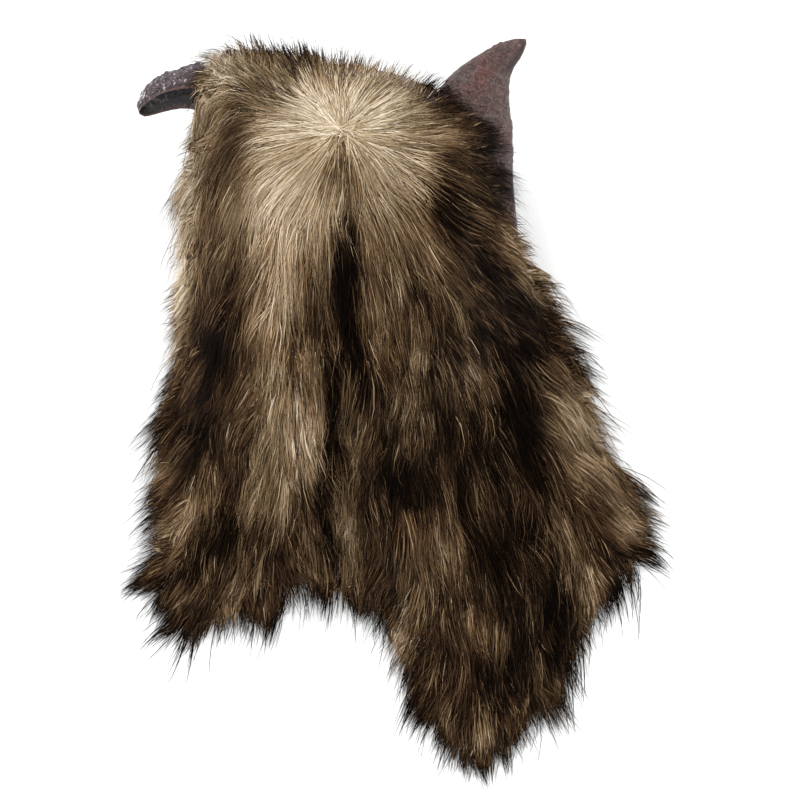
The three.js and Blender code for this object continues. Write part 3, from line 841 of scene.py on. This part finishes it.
def rootsOnSide(count):
    tries = count * sowing["sideTries"]
    u = rng.uniform(0, edgeRun[-1], tries)
    x, y, high, foot, _, _ = wallPlace(u)
    keep = rng.uniform(0, sowing["sideHigh"], tries) < high - foot + sowing["sideLeast"]
    u = u[keep & (furDepth.read(x, y) > sowing["edge"])][:count]
    return u, rng.uniform(0, 1, len(u))


# Finishes


class Wire:  # a socket that can be added, multiplied and so on
    def __init__(self, finish, socket):
        self.finish, self.socket = finish, socket

    def __add__(self, other):
        return self.finish.sum("ADD", self, other)

    def __sub__(self, other):
        return self.finish.sum("SUBTRACT", self, other)

    def __mul__(self, other):
        return self.finish.sum("MULTIPLY", self, other)

    def __rsub__(self, other):
        return self.finish.sum("SUBTRACT", other, self)

    __radd__, __rmul__ = __add__, __mul__


class Finish:  # a material, with one way to add any node
    def __init__(self, name, **plain):
        self.material = bpy.data.materials.new(name)
        self.material.use_nodes = True
        self.tree = self.material.node_tree
        self.shader = self.tree.nodes["Principled BSDF"]
        for socket, value in plain.items():
            self.shader.inputs[socket.replace("_", " ")].default_value = value

    def node(self, kind, settings=None, inputs=None, output=0):
        made = self.tree.nodes.new("ShaderNode" + kind)
        for key, value in (settings or {}).items():
            if key == "stops":
                self.setStops(made.color_ramp, value)
            else:
                setattr(made, key, value)
        for key, value in (inputs or {}).items():
            self.feed(made.inputs[key], value)
        return Wire(self, made.outputs[output])

    def feed(self, socket, value):
        if isinstance(value, Wire):
            self.tree.links.new(value.socket, socket)
        else:
            socket.default_value = value

    def setStops(self, ramp, stops):
        while len(ramp.elements) < len(stops):
            ramp.elements.new(0.5)
        for element, (place, shadeColour) in zip(ramp.elements, stops):
            element.position = place
            element.color = linear(shadeColour)

    def sum(self, operation, a, b):
        return self.node("Math", {"operation": operation}, {0: a, 1: b})

    def least(self, a, b):
        return self.sum("MINIMUM", a, b)

    def mix(self, factor, a, b):
        a, b = (x if isinstance(x, Wire) else linear(x) for x in (a, b))
        return self.node("Mix", {"data_type": "RGBA"}, {0: factor, 6: a, 7: b}, output=2)

    def give(self, socket, wire):
        self.tree.links.new(wire.socket, self.shader.inputs[socket])


def linear(rgb):  # from the 0 to 255 of a colour picker
    parts = [c / 255 for c in rgb]
    return (*[p / 12.92 if p <= 0.04045 else ((p + 0.055) / 1.055) ** 2.4 for p in parts], 1)


furStops = {
    "cool": [
        (0.0, (5, 4, 3)), (0.18, (29, 22, 15)), (0.4, (82, 68, 48)),
        (0.62, (140, 124, 96)), (0.82, (190, 177, 153)), (1.0, (224, 215, 197)),
    ],
    "warm": [
        (0.0, (8, 5, 3)), (0.18, (41, 26, 17)), (0.4, (99, 71, 47)),
        (0.62, (158, 128, 94)), (0.82, (202, 179, 149)), (1.0, (232, 213, 188)),
    ],
}


def makeFurFinish():
    f = Finish("fur", Roughness=0.7, Specular_IOR_Level=0.01)
    place = f.node("UVMap", {"uv_map": "OFBake"})
    tone = f.node("SeparateXYZ", None, {0: place}, output=0)
    warmth = f.node("SeparateXYZ", None, {0: place}, output=1)
    cool = f.node("ValToRGB", {"stops": furStops["cool"]}, {0: tone})
    warm = f.node("ValToRGB", {"stops": furStops["warm"]}, {0: tone})
    f.give("Base Color", f.mix(warmth, cool, warm))
    return f.material


def makeBackingFinish():
    f = Finish("backing", Roughness=0.9, Specular_IOR_Level=0.1)
    place = f.node("TexCoord", output=3)
    patch = f.node("TexNoise", None, {"Vector": place, "Scale": 42.0, "Detail": 4.0})
    f.give("Base Color", f.mix(patch, (20, 15, 12), (70, 54, 40)))
    return f.material


rubber = {
    "patch": 70.0,  # sizes of the patterns, as a texture's scale
    "blush": 44.0,
    "fold": 0.8,  # beside the grain
    # painted shade in the lines between folds
    "foldShadeMost": 0.55,  # the darkest that the lines between folds get
    # painted glints: pale spots on the pebbles, where their gloss would catch a lamp
    "glintColour": (236, 228, 228),
    "shutRoughness": 0.55,  # the mouth of an ear
    "shutSmooth": 0.9,
    "pebbleDepth": 0.8,
    "foldDepth": 1.2,
}


# dark is the ear mouth's own dark paint, and also the colour of the painted shade between folds
def makeLatexFinish(name, dull, bright, red, dark, gloss, grain, relief, glintMost):
    f = Finish(name, Specular_IOR_Level=0.35)
    place = f.node("TexCoord", output=3)
    patch = f.node(
        "TexNoise", None, {"Vector": place, "Scale": rubber["patch"], "Detail": 6.0, "Roughness": 0.7}
    )
    blush = f.node("TexNoise", None, {"Vector": place, "Scale": rubber["blush"], "Detail": 3.0})
    pebble = f.node("TexVoronoi", {"feature": "SMOOTH_F1"}, {"Vector": place, "Scale": grain})
    folds = {"Vector": place, "Scale": grain * rubber["fold"], "Detail": 4.0, "Distortion": 1.2}
    fold = f.node("TexNoise", None, folds)
    base = f.mix((patch - 0.5) * 2.6 + 0.55, dull, bright)
    base = f.mix((blush - 0.5) * 2.4, base, red)
    # painted shade: the dark colour laid in the lines between folds
    base = f.mix(f.least((fold - 0.5) * 5.0 + 0.3, rubber["foldShadeMost"]), base, dark)
    # painted highlight: pale glints on the tops of the pebbles in the lighter patches
    glint = (1.6 - pebble * 7.0) * (patch * 6.0 - 2.7)
    base = f.mix(f.least(glint, glintMost), base, rubber["glintColour"])
    shut = f.node("Attribute", {"attribute_name": "shut"}, output=2)
    f.give("Base Color", f.mix(shut, base, dark))
    f.give("Roughness", shut * (rubber["shutRoughness"] - gloss) + gloss)
    height = pebble * -rubber["pebbleDepth"] - fold * rubber["foldDepth"]
    height = height * (1 - shut * rubber["shutSmooth"])
    f.give("Normal", f.node("Bump", None, {"Strength": 1.0, "Distance": relief, "Height": height}))
    return f.material


furFinish = makeFurFinish()
backingFinish = makeBackingFinish()
latexFinish = makeLatexFinish(
    "latex", (64, 45, 42), (100, 76, 71), (104, 54, 50), (26, 18, 16),
    gloss=0.42, grain=400.0, relief=0.0022, glintMost=0.05,
)
wetFinish = makeLatexFinish(
    "latexGlossy", (48, 36, 39), (96, 78, 84), (78, 52, 56), (16, 16, 15),
    gloss=0.2, grain=280.0, relief=0.0040, glintMost=0.75,
)

# The ears at full fineness, over the plainer ones of the casting

ears = {
    "right": {
        "line": ((425, 95), (515, 245)),
        "finish": latexFinish,
        "wrinkle": 0.0010,
        "pitch": 0.0055,
        "mouth": (0.93, -0.3, 0.1),
        "shutFrom": 0.4,
        "raised": 0.0,
        "shutAbove": (66, 78),  # the mouth shows only above here, in the photograph
    },
    "left": {
        "line": ((207, 300), (207, 0)),
        "finish": wetFinish,
        "wrinkle": 0.0016,
        "pitch": 0.0045,
        "mouth": (0.3, -0.88, 0.36),
        "shutFrom": -0.1,
        "raised": 0.007,  # how much higher the foot's upper side stands than on the casting
        "shutAbove": (200, 300),
    },
}
earFine = {
    "voxel": 0.0014,
    "even": (7, 0.5),  # rounds of smoothing, and how strong
    "over": 0.0005,  # how far it lies over the casting's own ear
    "foldFrom": 0.8,  # the noise makes folds only where it is higher than this
    "shutSpan": 0.4,
    "shutMost": 0.85,
    "raisedAcross": (176, 202),  # the raised part lies right of here, in the photograph
    "raisedDown": (72, 92),  # and above here
}


def evened(bm, rounds, factor):
    for _ in range(rounds):
        bmesh.ops.smooth_vert(
            bm, verts=bm.verts, factor=factor, use_axis_x=True, use_axis_y=True, use_axis_z=True
        )


def meshFrom(bm, name):
    mesh = bpy.data.meshes.new(name)
    bm.to_mesh(mesh)
    bm.free()
    mesh.polygons.foreach_set("use_smooth", np.ones(len(mesh.polygons), bool))
    return mesh


def dressed(piece, finish):
    piece.data.materials.append(finish)
    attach(piece, "root")
    return piece


def makeEar(word, fine):
    ear = ears[word]
    (ax, ay), (bx, by) = (onFloor(*end, view["level"]) for end in ear["line"])
    outX, outY = ay - by, bx - ax  # left of the line, seen from its first end
    bm = bmesh.new()
    bm.from_mesh(fine)
    far = [v for v in bm.verts if (v.co.x - ax) * outX + (v.co.y - ay) * outY < 0]
    bmesh.ops.delete(bm, geom=far, context="VERTS")
    bmesh.ops.holes_fill(bm, edges=[e for e in bm.edges if e.is_boundary], sides=0)
    evened(bm, *earFine["even"])
    bmesh.ops.triangulate(bm, faces=[f for f in bm.faces if len(f.verts) > 4])
    bmesh.ops.recalc_face_normals(bm, faces=bm.faces)
    bm.normal_update()
    mouth = Vector(ear["mouth"]).normalized()
    shut = bm.verts.layers.float.new("shut")
    for v in bm.verts:
        fold = noise.multi_fractal(v.co / ear["pitch"], 1.0, 2.1, 3) - earFine["foldFrom"]
        px, py = seen(*v.co)
        toMouth = smooth(v.normal.dot(mouth), ear["shutFrom"], ear["shutFrom"] + earFine["shutSpan"])
        toMouth = float(toMouth * (1 - smooth(py, *ear["shutAbove"])))
        v[shut] = toMouth * earFine["shutMost"]
        v.co += v.normal * (earFine["over"] + ear["wrinkle"] * max(fold, 0) * (1 - toMouth))
        raised = smooth(px, *earFine["raisedAcross"]) * (1 - smooth(py, *earFine["raisedDown"]))
        v.co.y += ear["raised"] * float(raised)
    piece = dressed(added(f"ear_{word}", meshFrom(bm, f"ear_{word}")), ear["finish"])
    print("ear", word, len(piece.data.polygons), "faces")


def remeshed(node, voxel):  # an even, closed mesh of the same shape
    bm = bmesh.new()
    bm.from_mesh(nodes[node].data)
    bmesh.ops.remove_doubles(bm, verts=bm.verts, dist=1e-5)
    piece = added("even", meshFrom(bm, "even"))
    change = piece.modifiers.new("remesh", "REMESH")
    change.mode = "VOXEL"
    change.voxel_size = voxel
    made = bpy.data.meshes.new_from_object(piece.evaluated_get(bpy.context.evaluated_depsgraph_get()))
    bpy.data.objects.remove(piece)
    return made


fineLatex = remeshed("latex_mask", earFine["voxel"])
for word in ears:
    makeEar(word, fineLatex)

# The backing cloth of each panel, under the pile: over the head, down its sides and out over the floor

backing = {
    "grid": 0.0075,
    "under": (0.014, 0.034),  # below the top of the pile, at the head and on the floor
    "steepMost": 2.5,  # on steep fur it lies lower, up to this many times
    "headLevels": (0.05, 0.10),
    "lowest": 0.002,
    "inset": 0.021,
    "seamLevel": 0.1,  # the height at which the cloths' meeting line is looked up
    "seamNear": 24,  # how near that line an edge counts as part of it, in pixels
    "seamInset": 0.008,  # if it is this much farther in than the cloth's rim
    "trims": 3,
    "even": (3, 0.4),
    "thickness": 0.0014,
    "overLatex": 0.0016,
    "wallSteps": 5,
    "cutLength": 1.1,  # the cut cloth's length beside the draped one's
    "cutFilled": 0.78,  # the share of its rectangle that the cut fills
}


def backingHeight(x, y, latexTree):
    top = furTop.read(x, y)
    low, high = backing["under"]
    steep = math.sqrt(1 + furSlopeX.read(x, y) ** 2 + furSlopeY.read(x, y) ** 2)
    under = mixed(high, low, smooth(top, *backing["headLevels"]))
    z = top - under * min(steep, backing["steepMost"])
    hit = latexTree.ray_cast(Vector((x, y, top)), down)[0]
    if hit:
        z = max(z, hit.z + backing["overLatex"])
    return float(max(z, backing["lowest"]))


def offCloth(v, isLeft):
    x, y = v.co.xy
    return furDepth.read(x, y) < backing["inset"] or leftOfSeam(x, y, backing["seamLevel"]) != isLeft


def makeBacking(name, isLeft, latexTree):
    _, (y0, y1) = pelt["span"]
    cells = int((y1 - y0) / backing["grid"])
    bm = bmesh.new()
    bmesh.ops.create_grid(bm, x_segments=cells, y_segments=cells, size=(y1 - y0) / 2)
    bmesh.ops.delete(bm, geom=[v for v in bm.verts if offCloth(v, isLeft)], context="VERTS")
    for _ in range(backing["trims"]):  # no corner hangs on by a point or by one thread
        loose = [
            v for v in bm.verts
            if not v.is_manifold or len(v.link_faces) < 2 and len(v.link_edges) < 2
        ]
        bmesh.ops.delete(bm, geom=loose, context="VERTS")
    for v in bm.verts:
        v.co.z = backingHeight(v.co.x, v.co.y, latexTree)
    rim = [e for e in bm.edges if e.is_boundary and not nearSeam(e)]
    for step in range(backing["wallSteps"]):
        grown = bmesh.ops.extrude_edge_only(bm, edges=rim)["geom"]
        rim = [g for g in grown if isinstance(g, bmesh.types.BMEdge)]
        left = backing["wallSteps"] - step
        for v in [g for g in grown if isinstance(g, bmesh.types.BMVert)]:
            foot = footBelow(v.co.x, v.co.y)
            v.co.z += (min(foot, v.co.z) - v.co.z) / left
    evened(bm, *backing["even"])
    bmesh.ops.recalc_face_normals(bm, faces=bm.faces)
    area = sum(f.calc_area() for f in bm.faces)
    thicken(bm, backing["thickness"])
    print(name, "cloth", round(area, 4), "m2")
    return dressed(added(name, meshFrom(bm, name)), backingFinish), area


def thicken(bm, thickness):  # a second skin under the first, joined to it all round
    bm.normal_update()
    rim = [e for e in bm.edges if e.is_boundary]
    copied = bmesh.ops.duplicate(bm, geom=bm.faces[:] + bm.edges[:] + bm.verts[:])
    for v in [g for g in copied["geom"] if isinstance(g, bmesh.types.BMVert)]:
        v.co -= v.normal * thickness
    bmesh.ops.reverse_faces(bm, faces=[g for g in copied["geom"] if isinstance(g, bmesh.types.BMFace)])
    under = [copied["edge_map"][e] for e in rim]
    bmesh.ops.bridge_loops(bm, edges=rim + under)
    bmesh.ops.recalc_face_normals(bm, faces=bm.faces)


def nearSeam(edge):
    x, y = (edge.verts[0].co.xy + edge.verts[1].co.xy) / 2
    px, py = seen(x, y, backing["seamLevel"])
    inside = furDepth.read(x, y) > backing["inset"] + backing["seamInset"]
    return inside and abs(px - np.interp(py, *seam)) < backing["seamNear"]


def footBelow(x, y):
    near = np.argmin(np.hypot(furEdge[:, 0] - x, furEdge[:, 1] - y))
    return max(backing["lowest"], float(furEdge[near, 3]))


latexTree = treeOf(["latex_mask"])
backLeft, areaLeft = makeBacking("backing_left", True, latexTree)
backRight, areaRight = makeBacking("backing_right", False, latexTree)

# The pile of each panel, in pieces of workable size

whole = {"left": (), "right": ()}
pileSplits = {"left": (330,), "right": (270, 480)}  # how far down the picture a new piece starts


def pileOf(word, grown, splits=whole):
    root = grown["track"][:, 0]
    isLeft = leftOfSeam(*root.T)
    _, py = seen(*root.T)
    made = {"left": [], "right": []}
    for panel, mine in (("left", isLeft), ("right", ~isLeft)):
        bounds = [-math.inf, *splits[panel], math.inf]
        for number, (low, high) in enumerate(zip(bounds, bounds[1:]), 1):
            keep = mine & (py >= low) & (py < high)
            piece = ribbonPiece(f"{word}_{panel}_{number}", grown, keep)
            made[panel].append(dressed(piece, furFinish))
    print(word, "hair:", len(root), "strands")
    return made


def growLoose():
    parts = [growHair(surfacePath, *rootsOnTop(stray["count"]), stray)]
    for near, count, length, slack, thin in wisps:
        kind = {"near": near, "count": count, "length": length, "slack": slack, "thin": thin, **wispCommon}
        parts.append(growHair(surfacePath, *rootsNear(kind), kind))
    return {key: np.concatenate([grown[key] for grown in parts]) for key in parts[0]}


pile = pileOf("pile", growHair(surfacePath, *rootsOnTop(top["count"]), top), pileSplits)
fringe = pileOf("fringe", growHair(wallPath, *rootsOnSide(side["count"]), side))
strays = pileOf("strays", growLoose())

for word, cloth, area in (("left", backLeft, areaLeft), ("right", backRight, areaRight)):
    hairs = pile[word] + fringe[word] + strays[word]
    corners = np.array([v.co for v in cloth.data.vertices])
    long = backing["cutLength"] * np.ptp(corners[:, 1])
    flat = (round(float(area / backing["cutFilled"] / long), 3), round(float(long), 3))
    print(cloth.name, "cut from", flat, "m")
    area = round(area, 4)
    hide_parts(f"fur_panel_{word}")
    for piece in hairs:
        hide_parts(f"fur_panel_{word}")

latex = nodes["latex_mask"]
latex.data.materials.clear()
latex.data.materials.append(latexFinish)

# Floor and soft light

studio = {
    "floor": 0.93,
    "floorSize": 4,
    "sky": 1.35,
    "aim": (0, 0, 0.1),
    "lamps": (
        ("key", (-0.6, 1.0, 2.4), 2.4, 26),
        ("fill", (1.3, 0.2, 1.8), 2.0, 8),
        ("glint", (-1.7, 1.7, 1.8), 0.2, 16),
    ),
}


def makeStudio():
    bm = bmesh.new()
    bmesh.ops.create_grid(bm, x_segments=1, y_segments=1, size=studio["floorSize"])
    floor = added("floor", meshFrom(bm, "floor"))
    grey = (studio["floor"],) * 3
    floor.data.materials.append(Finish("paleFloor", Base_Color=(*grey, 1), Roughness=0.9).material)
    world = bpy.data.worlds.new("studio")
    world.use_nodes = True
    sky = world.node_tree.nodes["Background"]
    sky.inputs[0].default_value = (1, 1, 1, 1)
    sky.inputs[1].default_value = studio["sky"]
    bpy.context.scene.world = world
    bpy.context.scene.view_settings.view_transform = "Standard"  # colours as they are, on a white floor
    for name, place, size, power in studio["lamps"]:
        data = bpy.data.lights.new(name, "AREA")
        data.size, data.energy = size, power
        lamp = added(name, data)
        lamp.location = place
        lamp.rotation_euler = (Vector(studio["aim"]) - Vector(place)).to_track_quat("-Z", "Y").to_euler()


makeStudio()
